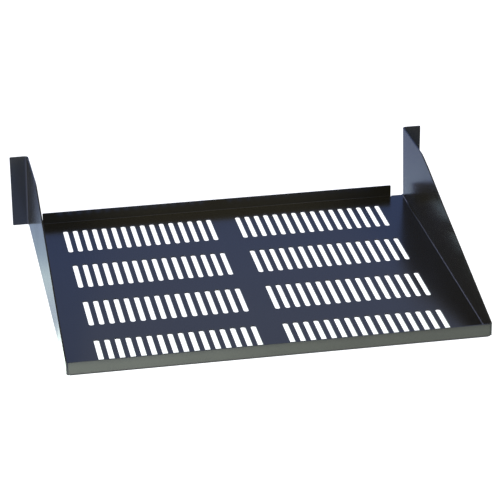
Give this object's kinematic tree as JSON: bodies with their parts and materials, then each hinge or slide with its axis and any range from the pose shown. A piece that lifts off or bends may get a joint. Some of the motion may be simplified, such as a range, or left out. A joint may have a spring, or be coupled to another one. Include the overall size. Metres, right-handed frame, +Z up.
{
  "type": "cantilever rack shelf",
  "caption": "Vented cantilever rack shelf folded from one sheet: slotted floor, sloping side panels, upturned lips and mounting ears.",
  "frame": {"origin": "on the underside of the floor, midway between the side panels and midway between the ears' far face and the free end", "axes": "+Z up, +Y from the free end towards the ears, +X along the width of the rack"},
  "size_m": [0.4826, 0.381, 0.0881],
  "materials": {
    "powder_coat": "black semi-gloss powder coat on sheet steel"
  },
  "bodies": {
    "root": {"shelf": "powder_coat"}
  },
  "joints": []
}
